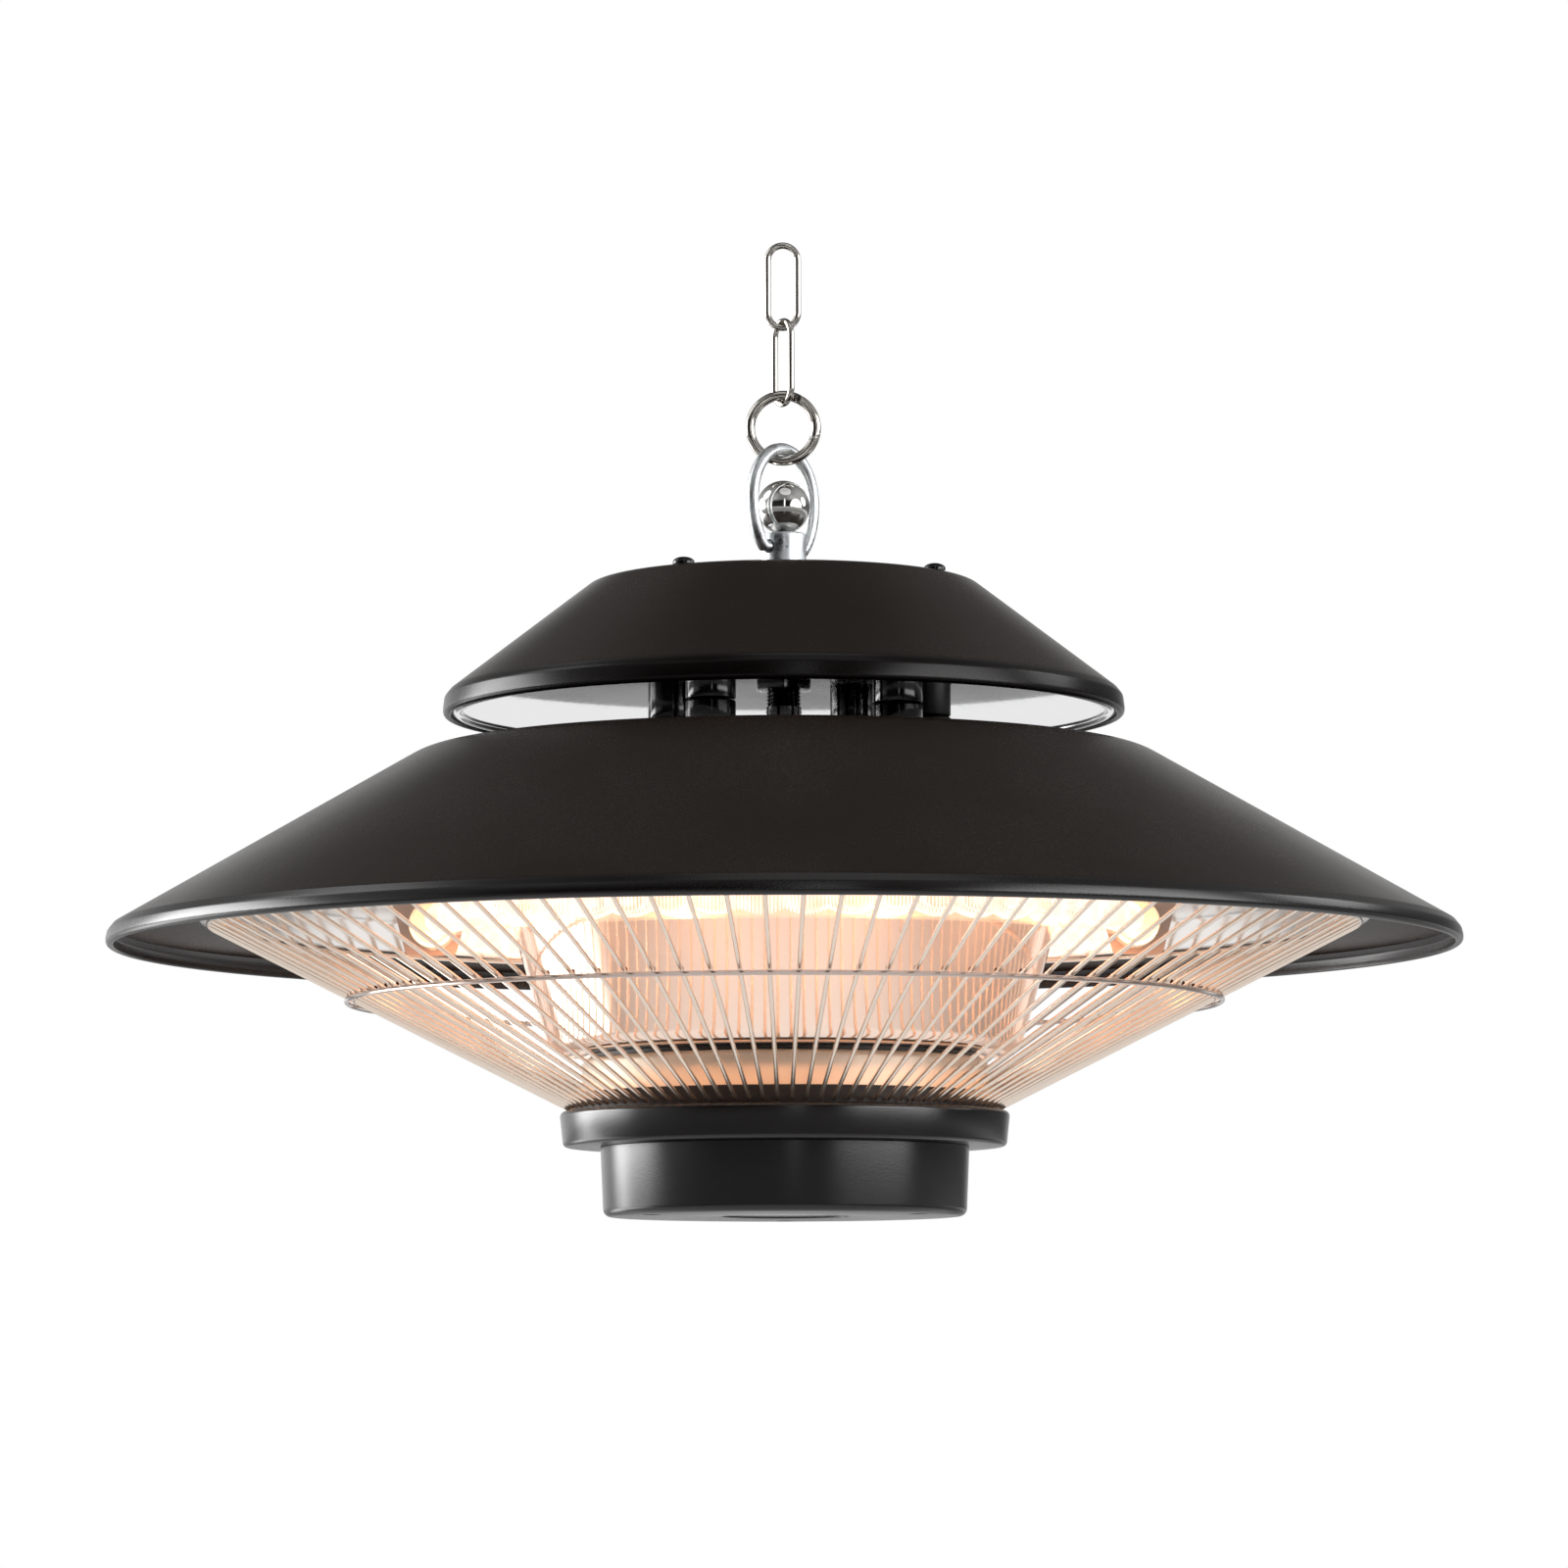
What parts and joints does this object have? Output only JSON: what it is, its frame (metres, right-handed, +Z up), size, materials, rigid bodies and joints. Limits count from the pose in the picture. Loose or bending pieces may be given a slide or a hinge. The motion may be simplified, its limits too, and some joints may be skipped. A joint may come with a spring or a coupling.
{
  "type": "hanging patio heater",
  "caption": "Round two-tier electric patio heater that hangs from a chain, with ring lamps under a wide shade, a wire guard and a control housing below.",
  "frame": {"origin": "inside top of the upper chain link, where a hook carries the heater", "axes": "+Z up, +X to the right and -Y towards the viewer of the picture"},
  "size_m": [0.6, 0.6, 0.4368],
  "materials": {
    "nickel_plate": "bright nickel plate on steel wire",
    "zinc_plate": "zinc plate, satin",
    "chrome_plate": "polished chrome",
    "black_steel": "black, satin",
    "black_plastic": "matt black",
    "dark_powder_coat": "dark brown-grey powder coat, satin",
    "polished_aluminium": "polished",
    "quartz_tube": "clear quartz glass with a warm tint",
    "heating_element": "glowing coil",
    "ceramic": "unglazed ceramic",
    "spring_steel": "heat-stained spring steel",
    "receiver_lens": "smoked window",
    "circuit_board": "green solder mask"
  },
  "bodies": {
    "upper_link": {"chain_link_upper": "nickel_plate"},
    "lower_link": {"chain_link_lower": "nickel_plate"},
    "ring": {"ring_clip_body": "nickel_plate", "ring_clip_pin": "nickel_plate"},
    "gate": {"ring_clip_gate": "nickel_plate"},
    "bail": {"hanging_bail": "zinc_plate"},
    "heater": {"suspension_stem": "zinc_plate", "ball_finial": "chrome_plate", "hanging_tube": "black_steel", "stem_nut": "zinc_plate", "pan_nut": "zinc_plate", "shade_nut": "black_steel", "column_nut": "zinc_plate", "housing_nut": "zinc_plate", "upper_shade": "dark_powder_coat", "upper_reflector_pan": "polished_aluminium", "shade_screw_1": "black_steel", "shade_screw_2": "black_steel", "shade_screw_3": "black_steel", "shade_screw_4": "black_steel", "shade_standoff_1": "zinc_plate", "shade_standoff_2": "zinc_plate", "shade_standoff_3": "zinc_plate", "shade_standoff_4": "zinc_plate", "spacer_post_1": "black_steel", "spacer_post_2": "black_steel", "spacer_post_3": "black_steel", "spacer_post_4": "black_steel", "wiring_sleeve": "black_plastic", "cable_gland": "black_plastic", "internal_cable": "black_plastic", "main_shade": "dark_powder_coat", "reflector_plate": "polished_aluminium", "reflector_spacer": "zinc_plate", "lamp_tube_front": "quartz_tube", "lamp_tube_back": "quartz_tube", "heating_element_front": "heating_element", "heating_element_back": "heating_element", "lamp_cap_front_left": "ceramic", "lamp_cap_front_right": "ceramic", "lamp_cap_back_left": "ceramic", "lamp_cap_back_right": "ceramic", "lamp_bracket_left": "spring_steel", "lamp_bracket_right": "spring_steel", "central_column": "polished_aluminium", "column_gasket": "black_plastic", "column_lower_ring": "polished_aluminium", "guard_cage": "chrome_plate", "guard_hoop": "chrome_plate", "guard_collar": "dark_powder_coat", "housing_flange": "dark_powder_coat", "housing_cap": "dark_powder_coat", "cap_screw_1": "black_steel", "cap_screw_2": "black_steel", "cap_screw_3": "black_steel", "receiver_lens": "receiver_lens", "control_board": "circuit_board", "terminal_block": "ceramic", "heat_relay_1": "black_plastic", "heat_relay_2": "black_plastic"}
  },
  "joints": [
    {"name": "lower_link_swing", "type": "hinge", "parent": "upper_link", "child": "lower_link", "pos_m": [0, 0, -0.0363], "axis": [1, 0, 0], "range_deg": [-45, 45]},
    {"name": "ring_swing", "type": "hinge", "parent": "lower_link", "child": "ring", "pos_m": [0, 0, -0.07079], "axis": [0.5446, -0.8387, 0], "range_deg": [-30, 30]},
    {"name": "gate_swing", "type": "hinge", "parent": "ring", "child": "gate", "pos_m": [0.00695, 0, -0.06852], "axis": [0, 1, 0], "range_deg": [0, 24], "stiffness_Nm_per_rad": 0.004, "springref_deg": -20.05},
    {"name": "bail_swing", "type": "hinge", "parent": "ring", "child": "bail", "pos_m": [0, 0, -0.09639], "axis": [1, 0, 0], "range_deg": [-30, 30]},
    {"name": "heater_swing", "type": "hinge", "parent": "bail", "child": "heater", "pos_m": [0, 0, -0.13584], "axis": [0.6691, 0.7431, 0], "range_deg": [-40, 40]}
  ]
}
